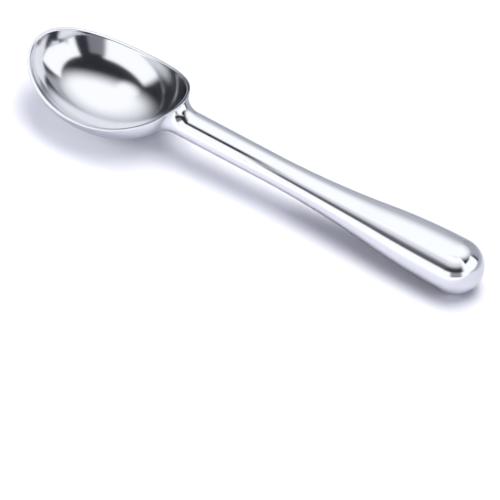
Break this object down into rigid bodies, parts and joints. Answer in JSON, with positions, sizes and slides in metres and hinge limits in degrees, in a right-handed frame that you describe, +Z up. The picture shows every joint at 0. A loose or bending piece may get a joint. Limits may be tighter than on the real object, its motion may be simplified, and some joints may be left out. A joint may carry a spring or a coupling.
{
  "type": "ice cream scoop",
  "caption": "Cast metal ice cream scoop with an oval bowl, a round neck and a swelling handle with a black insert in its back.",
  "frame": {"origin": "on the floor that the scoop lies on, under the middle of its length and width", "axes": "+X from the tip of the bowl towards the end of the handle, +Y to the left of someone looking along +X from the bowl, +Z up, out of the open bowl, as the scoop lies at rest"},
  "size_m": [0.1938, 0.0452, 0.0245],
  "materials": {
    "cast_metal": "satin polished",
    "grip_black": "matte"
  },
  "bodies": {
    "root": {"scoop_body": "cast_metal", "grip_inlay": "grip_black"}
  },
  "joints": []
}
